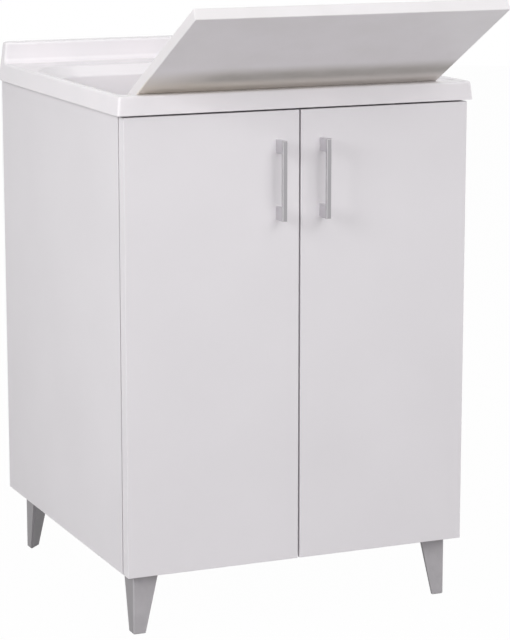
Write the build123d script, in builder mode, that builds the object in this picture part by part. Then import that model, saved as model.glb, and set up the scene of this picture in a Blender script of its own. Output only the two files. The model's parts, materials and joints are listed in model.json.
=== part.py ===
from build123d import *
import os
from math import atan2, cos, degrees, radians, sin, sqrt, tan

# Utility laundry sink: a moulded basin on a two-door cabinet with four corner legs,
# with a washboard that leans out over the front rim.
# Origin on the floor under the middle of the rim, +Z up, +Y to the wall, +X to the right.

# ---------------------------------------------------------------- basin sizes
rim_width = 600             # over the foot of the skirt
rim_depth = 600
rim_height = 850            # floor to the top of the lip
skirt_height = 29
skirt_flare = 3             # the skirt's foot stands out this far past its top
sheet = 4                   # thickness of the moulding
front_corner = 5            # plan radii of the skirt
back_corner = 15
outer_round = 4             # rounding of the moulding's outer edges
side_lip = 11.5             # flat of the lip beside the bowl
front_lip = 23
deck_depth = 72.5           # flat between the bowl and the upstand
upstand_height = 36
upstand_thickness = 32
upstand_cove = 9            # rounding where the deck meets the upstand
mouth_front_corner = 15     # plan radii of the bowl's mouth
mouth_back_corner = 95
mouth_round = 6             # rounding where the lip falls into the bowl
shoulder_drop = 16          # sloping shoulder between the mouth and the walls
shoulder_run = 18
front_shoulder_run = 24
upper_draft = 4             # how much the upper walls close in
ledge_width = 24
lower_front_corner = 40
lower_back_corner = 57
lower_draft = 10
front_corner_growth = 4     # bowl corners get rounder below the mouth
back_corner_growth = -14
bowl_depth = 237            # lip to the flat round the waste
floor_fall = 12
floor_round = 28
shoulder_round = 5
ledge_round = 3             # underside of the ledge's inner edge
waste_pad_width = 90        # flat square round the waste hole
waste_pad_corner = 40
waste_hole_radius = 26

# ----------------------------------------------------------- washboard sizes
board_play = 29             # side play of the board between the bowl's walls
board_length = 585
board_thickness = 18
board_reach = 269.5         # length outside the bowl, from the lip
board_angle = 28.5          # slope of the leaning board
board_shift = -6            # it lies a little left of the middle
board_round = 1.5
rest_gap = 0.3              # between a loose piece and its seat
groove_radius = 6
groove_depth = 2.2
groove_pitch = 13
groove_count = 30
groove_margin = 34          # plain border beside the grooves

# ------------------------------------------------------------- cabinet sizes
cabinet_inset = 10          # sides of the cabinet behind the foot of the rim
leg_height = 100
panel = 16
door_setback = 2.5          # door fronts behind the foot of the rim
door_thickness = 22
door_gap = 4                # between the doors' backs and the cabinet
door_top_gap = 3            # under the skirt
meeting_gap = 3             # between the two doors
door_round = 0.8
cabinet_overrun = 2.5       # cabinet sides end this far behind the rim
seat_gap = 0.2              # between the basin and what it lies on
front_rail_height = 70
rear_rail_height = 70
rear_rail_setback = 9       # from the upstand's front face
foot_rail_height = 80
notch_clearance = 9         # round the back corner of the skirt
notch_drop = 1
carcass_round = 0.6

# ----------------------------------------------------------------- leg sizes
leg_side_inset = 17         # from the side of the cabinet
leg_front_inset = 24        # from the door fronts
leg_back_inset = 40.5       # from the back of the cabinet
leg_top = 41
leg_foot = 20
leg_flange_step = 1
leg_flange_height = 7
leg_edge_top = 6            # short faces beside the slanted inner face
leg_edge_foot = 4
leg_chamfer = 1.8
leg_foot_chamfer = 1
bolt_inset = 13
bolt_radius = 4
bolt_depth_leg = 30
bolt_depth_panel = 12

# -------------------------------------------------------------- handle sizes
handle_inset = 35.7         # handle's middle from the meeting edge
handle_drop = 106.5         # handle's middle below the doors' top
handle_length = 125
bar_width = 8
bar_depth = 5
bar_round = 1.4
post_height = 21
post_depth = 22.5
post_round = 0.8
handle_screw_radius = 2
handle_screw_grip = 10      # thread length in the post
handle_head_radius = 4
handle_head_height = 2.4
handle_head_round = 1

# --------------------------------------------------------------- hinge sizes
hinge_rise = 100            # lower hinges above the doors' foot
hinge_drop = 168            # upper hinges below the doors' top
pin_inset = 8.5             # hinge pin from the door's edge
pin_depth = 8.5             # hinge pin below the door's back
pin_radius = 1.5
pin_clearance = 0.05
cup_inset = 20.5            # cup's middle from the door's edge
cup_radius = 17.4
cup_wall = 0.7
cup_depth = 12.7
cup_clearance = 0.1
flange_radius = 19
flange_thickness = 1.2
flange_trim = 5             # flange is cut off this far past the pin
wing_length = 56
wing_width = 15
wing_offset = 7             # wings sit inwards of the cup's middle
wing_screw_pitch = 46
wing_round = 4
cup_screw_radius = 1.75
cup_screw_length = 11
small_head_radius = 3.4
small_head_height = 1.4
small_head_round = 0.6
arm_width = 10
arm_eye_radius = 2.8
arm_thickness = 2.6
arm_crank = 14.4            # from the pin to the arm's straight part
arm_length = 76             # behind the pin
arm_low = 2.2               # underside of the crank, in front of the pin
arm_throat = 0.6            # its upper side, just clear of the opened cup's edge
arm_slant = 3.8
arm_rise = 2.4
arm_bend = 7
arm_eye_shoulder = 1.8
arm_screw_end = 20          # screw to the arm's end
arm_screw_grip = 5
plate_setback = 37          # plate's middle behind the cabinet's front edge
plate_length = 46
plate_width = 15
plate_thickness = 1.6
plate_round = 3
plate_screw_pitch = 32
boss_length = 34
boss_width = 12
arm_screw_radius = 2
arm_screw_head = 3.6
plate_screw_radius = 2.5
plate_screw_length = 12

# -------------------------------------------------------------- bumper sizes
bumper_radius = 5
bumper_side_inset = 24      # from the meeting edge
bumper_top_drop = 22        # below the doors' top

# -------------------------------------------------------- cabinet fastenings
dowel_radius = 4
dowel_in_side = 11
dowel_in_panel = 22
dowel_chamfer = 0.8
dowel_setback = 36          # from a panel's edge
rail_dowel_drop = 15        # from a rail's top
cam_radius = 7.5
cam_depth = 12.5
cam_reach = 34              # cam's middle from the panel's end
cam_setback = 76
rail_cam_drop = 45
cam_bolt_entry = 3          # the bolt's head starts this far past the cam's middle
cam_bolt_radius = 3
cam_bolt_in_side = 9

# ---------------------------------------------------------------- waste sizes
strainer_radius = 38
strainer_rise = 1.8
strainer_plate = 1.2
strainer_edge = 0.6
strainer_bevel = 1.6
dish_lip = 0.5
dish_radius = 23
dish_taper = 1
dish_depth = 5.6
strainer_hole_radius = 2.4
strainer_ring_radius = 14
strainer_hole_count = 8
strainer_screw_radius = 3
strainer_screw_head = 5
strainer_screw_rise = 1.8
strainer_screw_length = 16
gasket_thickness = 1.5
gasket_inset = 1
waste_flange_radius = 37
waste_flange_thickness = 3
waste_cup_radius = 29
waste_wall = 3
waste_cup_depth = 24
waste_cone = 9
tail_radius = 20.5
tail_length = 26
tail_wall = 4
hub_radius = 6
hub_height = 20
hub_gap = 0.6
hub_rib = 2.5
hub_rib_count = 3
port_radius = 11
port_wall = 2.5
port_length = 54            # from the waste's axis
port_drop = 17              # below the floor's underside
plug_radius = 22.8
plug_flange_radius = 27
plug_flange_thickness = 2.6
plug_bottom_gap = 0.4       # over the strainer's screw
plug_bevel = 0.8
knob_radius = 5
knob_height = 11
knob_bevel = 1.5
knob_stem_radius = 2.5
knob_stem_depth = 2

# ------------------------------------------------------------- overflow sizes
overflow_drop = 50          # grille's middle below the lip
grille_radius = 22
grille_thickness = 2.4
grille_round = 1
overflow_hole_radius = 17
slot_width = 3
slot_length = 20
slot_pitch = 6.5
slot_shortening = 0.7
overflow_screw_radius = 2.5
overflow_screw_head = 4.5
overflow_head_rise = 1.6
housing_flange_radius = 25
housing_flange_thickness = 2.5
housing_radius = 19
housing_wall = 2.5
housing_depth = 27
housing_boss_length = 12
spigot_radius = 11
spigot_length = 42          # below the housing's axis
hose_wall = 2.4
hose_fit = 0.1
hose_overlap = 15
hose_bend = 40

# ----------------------------------------------------------------- trap sizes
inlet_nut_radius = 27
inlet_nut_height = 20
neck_height = 22
neck_step = 2               # neck below its collar
neck_collar = 4
nut_lip = 2.5
nut_round = 2
pipe_fit = 0.15
neck_bore = 16.6
trap_radius = 33
trap_wall = 3
trap_height = 88
trap_bevel = 3
dip_radius = 16
dip_wall = 2.5
dip_above = 16              # dip tube's end above its collar
dip_collar = 2
dip_foot = 26               # dip tube's end above the cup's floor
cup_fit = 0.3
trap_cup_wall = 3.4
trap_cup_height = 74
trap_cup_overlap = 20
grip_radius = 2
grip_height = 40
grip_count = 12
outlet_drop = 26            # outlet's axis below the trap's top
outlet_radius = 16
outlet_wall = 2
socket_wall = 3
socket_length = 24
socket_stop = 4             # pipe's end from the trap's wall
outlet_nut_radius = 24
outlet_nut_length = 18
outlet_nut_lip = 3
nut_side_count = 8
adapter_radius = 20
adapter_length = 50
adapter_web = 2.5
outlet_end_gap = 3          # pipe's end before the cabinet's back

tiny = 0.01                 # edges this close to a place lie on it

# -------------------------------------------------------------- worked places
skirt_foot = rim_height - skirt_height
skirt_draft = degrees(atan2(skirt_flare, skirt_height))
top_half_width = rim_width / 2 - skirt_flare
top_front = -rim_depth / 2 + skirt_flare
top_back = rim_depth / 2 - skirt_flare
upstand_front = top_back - upstand_thickness
upstand_top = rim_height + upstand_height
mouth_half_width = top_half_width - side_lip
mouth_front = top_front + front_lip
mouth_back = upstand_front - deck_depth
shoulder_foot = rim_height - shoulder_drop
wall_half_width = mouth_half_width - shoulder_run
wall_front = mouth_front + front_shoulder_run
wall_back = mouth_back - shoulder_run
floor_level = rim_height - bowl_depth
floor_edge = floor_level + floor_fall
floor_under = floor_level - sheet

# The board's underside lies on the rounded front edge of the mouth.
slope = radians(board_angle)
shoulder_angle = atan2(shoulder_drop, front_shoulder_run)
edge_centre_y = mouth_front - mouth_round * tan(shoulder_angle / 2)
edge_centre_z = rim_height - mouth_round
board_crossing = edge_centre_y + (mouth_round + rest_gap - mouth_round * cos(slope)) / sin(slope)
board_width = 2 * wall_half_width - board_play
board_in_bowl = board_length - board_reach
ledge_level = rim_height - board_in_bowl * sin(slope) - rest_gap

cabinet_half = rim_width / 2 - cabinet_inset
inner_half = cabinet_half - panel
door_front = -rim_depth / 2 + door_setback
door_back = door_front + door_thickness
cabinet_front = door_back + door_gap
cabinet_back = rim_depth / 2 + cabinet_overrun
door_top = skirt_foot - door_top_gap
door_foot = leg_height
hinge_heights = (door_foot + hinge_rise, door_top - hinge_drop)
handle_height = door_top - handle_drop
door_outer = cabinet_half
door_inner = meeting_gap / 2
floor_panel_top = leg_height + panel


# The underside of the shoulder, where the cabinet's top edges carry the basin.
def shoulder_under(from_wall, run):
    bend = radians(90) - atan2(shoulder_drop, run)
    wall_corner = shoulder_foot - sheet * tan(bend / 2)
    return wall_corner + (from_wall - sheet) * shoulder_drop / run


side_top = shoulder_under(inner_half - wall_half_width, shoulder_run) - seat_gap
front_rail_top = shoulder_under(wall_front - cabinet_front - panel, front_shoulder_run) - seat_gap
rear_rail_top = rim_height - sheet
rear_rail_back = upstand_front - rear_rail_setback

drain_y = (wall_front + wall_back) / 2
overflow_level = rim_height - overflow_drop
wall_tilt = atan2(upper_draft, shoulder_foot - ledge_level)
overflow_y = wall_back - (shoulder_foot - overflow_level) * tan(wall_tilt)
overflow_plane = Plane(
    origin=(0, overflow_y, overflow_level), x_dir=(1, 0, 0),
    z_dir=(0, cos(wall_tilt), -sin(wall_tilt)))
pin_x = cabinet_half - pin_inset
pin_y = door_back - pin_depth
cup_x = cabinet_half - cup_inset

os.makedirs("parts", exist_ok=True)


# One level of the bowl, drawn in plan. grow makes the outside of the sheet.
def bowl_outline(level, half_width, front, back, front_radius, back_radius):
    with BuildSketch(Plane.XY.offset(level)) as outline:
        with Locations((0, (front + back) / 2)):
            Rectangle(2 * half_width, back - front)
        fillet(outline.vertices().group_by(Axis.Y)[0], front_radius)
        fillet(outline.vertices().group_by(Axis.Y)[-1], back_radius)
    return outline.sketch


def is_level_ring(level):
    return lambda edge: abs(edge.bounding_box().min.Z - level) < tiny and abs(
        edge.bounding_box().max.Z - level) < tiny


# Whether an edge's middle lies in a rectangle in plan.
def is_within(half_width, front, back):
    return lambda edge: abs(edge.center().X) < half_width + tiny and (
        front - tiny < edge.center().Y < back + tiny)


# The bowl as a closed body: its cavity with grow = 0, its outside with grow = sheet.
def bowl_body(grow, top, mouth_grow, shoulder_level, floor_sink):
    front_radius = mouth_front_corner + front_corner_growth
    back_radius = mouth_back_corner + back_corner_growth
    upper_in = upper_draft - grow
    with BuildPart() as upper:
        mouth = bowl_outline(
            top, mouth_half_width + mouth_grow, mouth_front - mouth_grow,
            mouth_back + mouth_grow, mouth_front_corner + mouth_grow, mouth_back_corner + mouth_grow)
        shoulder = bowl_outline(
            shoulder_level, wall_half_width + grow, wall_front - grow, wall_back + grow,
            front_radius + grow, back_radius + grow)
        ledge = bowl_outline(
            ledge_level - floor_sink, wall_half_width - upper_in, wall_front + upper_in,
            wall_back - upper_in, front_radius + grow, back_radius + grow)
        loft([mouth, shoulder], ruled=True)
        loft([shoulder, ledge], ruled=True)
    lower_in = upper_draft + ledge_width - grow
    foot_in = lower_in + lower_draft
    with BuildPart() as lower:
        lower_top = bowl_outline(
            ledge_level - floor_sink, wall_half_width - lower_in, wall_front + lower_in,
            wall_back - lower_in, lower_front_corner + grow, lower_back_corner + grow)
        lower_foot = bowl_outline(
            floor_edge - floor_sink, wall_half_width - foot_in, wall_front + foot_in,
            wall_back - foot_in, lower_front_corner + grow, lower_back_corner + grow)
        flat = waste_pad_width / 2 + grow
        waste_pad = bowl_outline(
            floor_level - floor_sink, flat, drain_y - flat, drain_y + flat,
            waste_pad_corner, waste_pad_corner)
        loft([lower_top, lower_foot], ruled=True)
        loft([lower_foot, waste_pad], ruled=True)
    with BuildPart() as body:
        add(upper.part)
        add(lower.part)
        fillet(body.edges().filter_by(is_level_ring(shoulder_level)), shoulder_round + grow)
        fillet(body.edges().filter_by(is_level_ring(floor_edge - floor_sink)), floor_round + grow)
        ledge_edge = body.edges().filter_by(is_level_ring(ledge_level - floor_sink)).filter_by(
            is_within(wall_half_width - lower_in, wall_front + lower_in, wall_back - lower_in))
        fillet(ledge_edge, ledge_round + sheet - grow)
    return body.part


shoulder_bend = atan2(shoulder_drop, shoulder_run)
outer_shoulder = shoulder_foot - sheet * tan((radians(90) - shoulder_bend) / 2)
cavity = bowl_body(0, rim_height, 0, shoulder_foot, 0)
bowl_outside = bowl_body(sheet, rim_height - sheet, sheet * tan(shoulder_bend / 2), outer_shoulder, sheet)


# The rim with its upstand as a closed block: its outside with inset = 0, its hollow with
# inset = sheet.
def rim_block(inset):
    lip_level = rim_height - inset
    top = upstand_top - inset
    with BuildPart() as block:
        with BuildSketch(Plane.XY.offset(skirt_foot)):
            Rectangle(rim_width - 2 * inset, rim_depth - 2 * inset)
        extrude(amount=top - skirt_foot, taper=skirt_draft)
        with BuildSketch(Plane.XY.offset(lip_level)):
            with Locations((0, upstand_front + inset)):
                Rectangle(rim_width, rim_depth, align=(Align.CENTER, Align.MAX))
        extrude(amount=top - lip_level, mode=Mode.SUBTRACT)
        corners = block.edges().filter_by(
            lambda e: e.bounding_box().min.Z < skirt_foot + tiny < e.bounding_box().max.Z)
        fillet(corners.group_by(Axis.Y)[0], front_corner - inset)
        fillet(corners.group_by(Axis.Y)[-1], back_corner - inset)
    return block.part


with BuildPart() as basin:
    add(rim_block(0))
    cove = basin.edges().filter_by(Axis.X).filter_by(
        lambda e: abs(e.center().Z - rim_height) < tiny and abs(e.center().Y - upstand_front) < tiny)
    fillet(cove, upstand_cove)
    outer_walls = basin.faces().filter_by(lambda f: f.bounding_box().min.Z < skirt_foot + tiny)
    wall_tops = outer_walls.edges().filter_by(lambda e: e.bounding_box().min.Z > skirt_foot + tiny)
    upstand_edges = basin.faces().sort_by(Axis.Z)[-1].edges()
    fillet(wall_tops + upstand_edges, outer_round)
    add(rim_block(sheet), mode=Mode.SUBTRACT)
    add(bowl_outside)
    add(cavity, mode=Mode.SUBTRACT)
    mouth_edge = basin.edges().filter_by(is_level_ring(rim_height)).filter_by(
        is_within(mouth_half_width, mouth_front, mouth_back))
    fillet(mouth_edge, mouth_round)
    with Locations((0, drain_y, floor_level)):
        Hole(waste_hole_radius, depth=2 * sheet)
    with BuildSketch(overflow_plane.offset(-sheet)):
        Circle(overflow_hole_radius)
    extrude(amount=3 * sheet, mode=Mode.SUBTRACT)
basin.part.label = "basin"
export_step(basin.part, "parts/basin.step")

# ------------------------------------------------------------------ washboard
# Its plane has x along the rim, y down the slope into the bowl and z out of the upper face.
board_plane = Plane(
    origin=(board_shift, board_crossing, rim_height),
    x_dir=(1, 0, 0), z_dir=(0, sin(slope), cos(slope)))
groove_middle = board_length / 2 - board_reach
groove_half = board_width / 2 - groove_margin

with BuildPart() as washboard:
    with BuildSketch(board_plane) as board_outline:
        with Locations((0, groove_middle)):
            Rectangle(board_width, board_length)
    extrude(amount=board_thickness)
    fillet(washboard.edges(), board_round)
    groove_plane = board_plane.offset(board_thickness + groove_radius - groove_depth)
    with Locations(groove_plane):
        with Locations((0, groove_middle)):
            with GridLocations(0, groove_pitch, 1, groove_count):
                Cylinder(groove_radius, 2 * groove_half, rotation=(0, 90, 0), mode=Mode.SUBTRACT)
            with GridLocations(2 * groove_half, groove_pitch, 2, groove_count):
                Sphere(groove_radius, mode=Mode.SUBTRACT)
washboard.part.label = "washboard"
export_step(washboard.part, "parts/washboard.step")

# -------------------------------------------------------- cabinet fastenings
front_rail_mid = cabinet_front + panel / 2
rear_rail_mid = rear_rail_back - panel / 2
foot_rail_mid = cabinet_back - panel / 2
floor_panel_mid = leg_height + panel / 2
foot_rail_top = floor_panel_top + foot_rail_height
dowel_places = [
    (cabinet_front + dowel_setback, floor_panel_mid),
    (cabinet_back - dowel_setback, floor_panel_mid),
    (front_rail_mid, front_rail_top - rail_dowel_drop),
    (rear_rail_mid, rear_rail_top - seat_gap - rail_dowel_drop),
    (foot_rail_mid, foot_rail_top - rail_dowel_drop),
]
floor_cam_places = [
    (cabinet_front + cam_setback, floor_panel_mid),
    (cabinet_back - cam_setback, floor_panel_mid),
]
rail_cam_places = [
    (front_rail_mid, front_rail_top - rail_cam_drop),
    (rear_rail_mid, rear_rail_top - seat_gap - rail_cam_drop),
    (foot_rail_mid, foot_rail_top - rail_cam_drop),
]
cam_x = inner_half - cam_reach


# A plane square to X, for what runs from a panel's end into the cabinet's side.
def end_plane(x, y, z):
    return Plane(origin=(x, y, z), x_dir=(0, 1, 0), z_dir=(1, 0, 0))


with BuildPart() as carcass_dowels:
    for y, z in dowel_places:
        with BuildSketch(end_plane(inner_half - dowel_in_panel, y, z)):
            Circle(dowel_radius)
        extrude(amount=dowel_in_panel + dowel_in_side)
    chamfer(carcass_dowels.edges().filter_by(GeomType.CIRCLE), dowel_chamfer)
    mirror(about=Plane.YZ)
carcass_dowels.part.label = "carcass_dowels"
export_step(carcass_dowels.part, "parts/carcass_dowels.step")

with BuildPart() as cam_bolts:
    for y, z in floor_cam_places + rail_cam_places:
        with BuildSketch(end_plane(cam_x + cam_bolt_entry, y, z)):
            Circle(cam_bolt_radius)
        extrude(amount=cam_reach - cam_bolt_entry + cam_bolt_in_side)
    mirror(about=Plane.YZ)
cam_bolts.part.label = "cam_bolts"
export_step(cam_bolts.part, "parts/cam_bolts.step")

with BuildPart() as cam_locks:
    for y, z in floor_cam_places:
        with BuildSketch(Plane.XY.offset(leg_height)):
            with Locations((cam_x, y)):
                Circle(cam_radius)
        extrude(amount=cam_depth)
    for face_y, z in [
            (cabinet_front + panel, front_rail_top - rail_cam_drop),
            (rear_rail_back, rear_rail_top - seat_gap - rail_cam_drop)]:
        with BuildSketch(Plane(origin=(cam_x, face_y, z), x_dir=(1, 0, 0), z_dir=(0, -1, 0))):
            Circle(cam_radius)
        extrude(amount=cam_depth)
    foot_cam_z = foot_rail_top - rail_cam_drop
    with BuildSketch(Plane(
            origin=(cam_x, cabinet_back - panel, foot_cam_z), x_dir=(1, 0, 0), z_dir=(0, 1, 0))):
        Circle(cam_radius)
    extrude(amount=cam_depth)
    mirror(about=Plane.YZ)
    add(cam_bolts.part, mode=Mode.SUBTRACT)
cam_locks.part.label = "cam_locks"
export_step(cam_locks.part, "parts/cam_locks.step")

# ------------------------------------------------------------------ leg bolts
leg_x = cabinet_half - leg_side_inset
leg_front_y = door_front + leg_front_inset
leg_back_y = cabinet_back - leg_back_inset
bolt_x = leg_x - bolt_inset

with BuildPart() as leg_bolts:
    with BuildSketch(Plane.XY.offset(leg_height - bolt_depth_leg)):
        with Locations((bolt_x, leg_front_y + bolt_inset), (bolt_x, leg_back_y - bolt_inset)):
            Circle(bolt_radius)
    extrude(amount=bolt_depth_leg + bolt_depth_panel)
    mirror(about=Plane.YZ)
leg_bolts.part.label = "leg_bolts"
export_step(leg_bolts.part, "parts/leg_bolts.step")

# --------------------------------------------------------------------- hinges
# Right-hand side first; the left-hand side is its mirror image.


# A plane square to Y, facing the wall.
def back_plane(x, y, z):
    return Plane(origin=(x, y, z), x_dir=(1, 0, 0), z_dir=(0, 1, 0))


arm_inner_x = pin_x - arm_crank - arm_thickness
arm_outer_x = pin_x - arm_crank
boss_height = inner_half - arm_outer_x
plate_y = cabinet_front + plate_setback
wing_x = cup_x - wing_offset
wing_screw_places = [
    (wing_x, height + side * wing_screw_pitch / 2) for height in hinge_heights for side in (-1, 1)]

with BuildPart() as hinge_cups_right:
    for height in hinge_heights:
        with BuildSketch(back_plane(cup_x, door_back, height)):
            Circle(flange_radius)
            with Locations((-wing_offset, 0)):
                RectangleRounded(wing_width, wing_length, wing_round)
            with Locations((pin_x + flange_trim - cup_x, 0)):
                Rectangle(
                    flange_radius, 2 * flange_radius, align=(Align.MIN, Align.CENTER), mode=Mode.SUBTRACT)
        extrude(amount=flange_thickness)
        with BuildSketch(back_plane(cup_x, door_back - cup_depth, height)):
            Circle(cup_radius)
        extrude(amount=cup_depth)
        with BuildSketch(back_plane(cup_x, door_back - cup_depth + cup_wall, height)):
            Circle(cup_radius - cup_wall)
        extrude(amount=cup_depth + flange_thickness, mode=Mode.SUBTRACT)
        pin_half = sqrt((cup_radius - cup_wall / 2) ** 2 - (pin_x - cup_x) ** 2)
        with BuildSketch(Plane.XY.offset(height - pin_half)):
            with Locations((pin_x, pin_y)):
                Circle(pin_radius)
        extrude(amount=2 * pin_half)
        with BuildSketch(back_plane(cup_x, door_back - cup_depth, height)):
            Circle(cup_radius + pin_radius)
            Circle(cup_radius, mode=Mode.SUBTRACT)
        extrude(amount=cup_depth, mode=Mode.SUBTRACT)
    for x, z in wing_screw_places:
        with BuildSketch(back_plane(x, door_back, z)):
            Circle(cup_screw_radius)
        extrude(amount=flange_thickness, mode=Mode.SUBTRACT)
hinge_cups_right.part.label = "hinge_cups_right"
export_step(hinge_cups_right.part, "parts/hinge_cups_right.step")

with BuildPart() as cup_screws_right:
    for x, z in wing_screw_places:
        with BuildSketch(back_plane(x, door_back + flange_thickness, z)):
            Circle(cup_screw_radius)
        extrude(amount=-cup_screw_length)
        with BuildSketch(back_plane(x, door_back + flange_thickness, z)):
            Circle(small_head_radius)
        extrude(amount=small_head_height)
    heads = cup_screws_right.faces().group_by(Axis.Y)[-1].edges()
    fillet(heads, small_head_round)
cup_screws_right.part.label = "cup_screws_right"
export_step(cup_screws_right.part, "parts/cup_screws_right.step")

# The arm seen from above: an eye on the pin, a low crank out of the cup and a straight part
# along the cabinet's side.
arm_outline = [
    (pin_x, pin_y - arm_low),
    (arm_outer_x, pin_y - arm_low),
    (arm_inner_x, pin_y - arm_low + arm_thickness),
    (arm_inner_x, pin_y + arm_length),
    (arm_outer_x, pin_y + arm_length),
    (arm_outer_x, pin_y + arm_bend),
    (pin_x - arm_crank + arm_rise, pin_y + arm_throat + arm_rise),
    (pin_x - arm_crank + arm_slant, pin_y + arm_throat),
    (pin_x - arm_eye_radius, pin_y + arm_eye_shoulder),
    (pin_x, pin_y + arm_eye_shoulder),
]
arm_screw_y = pin_y + arm_length - arm_screw_end

with BuildPart() as hinge_arms_right:
    for height in hinge_heights:
        with BuildSketch(Plane.XY.offset(height - arm_width / 2)):
            with BuildLine():
                Polyline(*arm_outline, close=True)
            make_face()
            with Locations((pin_x, pin_y)):
                Circle(arm_eye_radius)
                Circle(pin_radius + pin_clearance, mode=Mode.SUBTRACT)
        extrude(amount=arm_width)
        with BuildSketch(end_plane(arm_inner_x, arm_screw_y, height)):
            Circle(arm_screw_radius)
        extrude(amount=arm_thickness, mode=Mode.SUBTRACT)
hinge_arms_right.part.label = "hinge_arms_right"
export_step(hinge_arms_right.part, "parts/hinge_arms_right.step")

plate_screw_places = [
    (plate_y, height + side * plate_screw_pitch / 2) for height in hinge_heights for side in (-1, 1)]

with BuildPart() as hinge_plates_right:
    for height in hinge_heights:
        with BuildSketch(end_plane(inner_half, plate_y, height)):
            RectangleRounded(plate_length, plate_width, plate_round)
            RectangleRounded(plate_width, plate_screw_pitch + plate_width, plate_round)
        extrude(amount=-plate_thickness)
        with BuildSketch(end_plane(inner_half, plate_y, height)):
            Rectangle(boss_length, boss_width)
        extrude(amount=-boss_height)
        with BuildSketch(end_plane(arm_outer_x, arm_screw_y, height)):
            Circle(arm_screw_radius)
        extrude(amount=arm_screw_grip, mode=Mode.SUBTRACT)
    for y, z in plate_screw_places:
        with BuildSketch(end_plane(inner_half, y, z)):
            Circle(plate_screw_radius)
        extrude(amount=-plate_thickness, mode=Mode.SUBTRACT)
hinge_plates_right.part.label = "hinge_plates_right"
export_step(hinge_plates_right.part, "parts/hinge_plates_right.step")

with BuildPart() as hinge_arm_screws:
    for height in hinge_heights:
        with BuildSketch(end_plane(arm_inner_x, arm_screw_y, height)):
            Circle(arm_screw_radius)
        extrude(amount=arm_thickness + arm_screw_grip)
        with BuildSketch(end_plane(arm_inner_x, arm_screw_y, height)):
            Circle(arm_screw_head)
        extrude(amount=-small_head_height)
    mirror(about=Plane.YZ)
hinge_arm_screws.part.label = "hinge_arm_screws"
export_step(hinge_arm_screws.part, "parts/hinge_arm_screws.step")

with BuildPart() as hinge_plate_screws:
    for y, z in plate_screw_places:
        with BuildSketch(end_plane(inner_half - plate_thickness, y, z)):
            Circle(plate_screw_radius)
        extrude(amount=plate_screw_length)
        with BuildSketch(end_plane(inner_half - plate_thickness, y, z)):
            Circle(small_head_radius)
        extrude(amount=-small_head_height)
    mirror(about=Plane.YZ)
hinge_plate_screws.part.label = "hinge_plate_screws"
export_step(hinge_plate_screws.part, "parts/hinge_plate_screws.step")

# --------------------------------------------------------------- door handles
handle_x = door_inner + handle_inset
post_step = (handle_length - post_height) / 2
handle_screw_heights = [handle_height - post_step, handle_height + post_step]

with BuildPart() as handle_posts_right:
    for height in handle_screw_heights:
        with BuildSketch(back_plane(handle_x, door_front, height)):
            Rectangle(bar_width, post_height)
        extrude(amount=-post_depth)
    long_edges = handle_posts_right.edges().filter_by(Axis.Y)
    fillet(long_edges, post_round)
    for height in handle_screw_heights:
        with BuildSketch(back_plane(handle_x, door_front, height)):
            Circle(handle_screw_radius)
        extrude(amount=-handle_screw_grip, mode=Mode.SUBTRACT)
handle_posts_right.part.label = "handle_posts_right"
export_step(handle_posts_right.part, "parts/handle_posts_right.step")

with BuildPart() as handle_bar_right:
    with BuildSketch(back_plane(handle_x, door_front - post_depth, handle_height)):
        Rectangle(bar_width, handle_length)
    extrude(amount=-bar_depth)
    front_edges = handle_bar_right.faces().sort_by(Axis.Y)[0].edges()
    fillet(front_edges, bar_round)
handle_bar_right.part.label = "handle_bar_right"
export_step(handle_bar_right.part, "parts/handle_bar_right.step")

with BuildPart() as handle_screws_right:
    for height in handle_screw_heights:
        with BuildSketch(back_plane(handle_x, door_back, height)):
            Circle(handle_screw_radius)
        extrude(amount=-(door_thickness + handle_screw_grip))
        with BuildSketch(back_plane(handle_x, door_back, height)):
            Circle(handle_head_radius)
        extrude(amount=handle_head_height)
    heads = handle_screws_right.faces().group_by(Axis.Y)[-1].edges()
    fillet(heads, handle_head_round)
handle_screws_right.part.label = "handle_screws_right"
export_step(handle_screws_right.part, "parts/handle_screws_right.step")

with BuildPart() as door_bumpers_right:
    for height in (door_top - bumper_top_drop, floor_panel_mid):
        with BuildSketch(back_plane(door_inner + bumper_side_inset, door_back, height)):
            Circle(bumper_radius)
        extrude(amount=door_gap)
door_bumpers_right.part.label = "door_bumpers_right"
export_step(door_bumpers_right.part, "parts/door_bumpers_right.step")

# ---------------------------------------------------------------------- doors
with BuildPart() as door_right:
    with BuildSketch(Plane.XY.offset(door_foot)):
        with Locations(((door_inner + door_outer) / 2, (door_front + door_back) / 2)):
            Rectangle(door_outer - door_inner, door_thickness)
    extrude(amount=door_top - door_foot)
    fillet(door_right.edges(), door_round)
    for height in hinge_heights:
        with BuildSketch(back_plane(cup_x, door_back, height)):
            Circle(cup_radius + cup_clearance)
        extrude(amount=-(cup_depth + cup_clearance), mode=Mode.SUBTRACT)
    add(cup_screws_right.part, mode=Mode.SUBTRACT)
    add(handle_screws_right.part, mode=Mode.SUBTRACT)
door_right.part.label = "door_right"
export_step(door_right.part, "parts/door_right.step")

with BuildPart() as door_left:
    mirror(door_right.part, about=Plane.YZ)
door_left.part.label = "door_left"
export_step(door_left.part, "parts/door_left.step")

with BuildPart() as handle_posts_left:
    mirror(handle_posts_right.part, about=Plane.YZ)
handle_posts_left.part.label = "handle_posts_left"
export_step(handle_posts_left.part, "parts/handle_posts_left.step")

with BuildPart() as handle_bar_left:
    mirror(handle_bar_right.part, about=Plane.YZ)
handle_bar_left.part.label = "handle_bar_left"
export_step(handle_bar_left.part, "parts/handle_bar_left.step")

with BuildPart() as handle_screws_left:
    mirror(handle_screws_right.part, about=Plane.YZ)
handle_screws_left.part.label = "handle_screws_left"
export_step(handle_screws_left.part, "parts/handle_screws_left.step")

with BuildPart() as door_bumpers_left:
    mirror(door_bumpers_right.part, about=Plane.YZ)
door_bumpers_left.part.label = "door_bumpers_left"
export_step(door_bumpers_left.part, "parts/door_bumpers_left.step")

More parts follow.
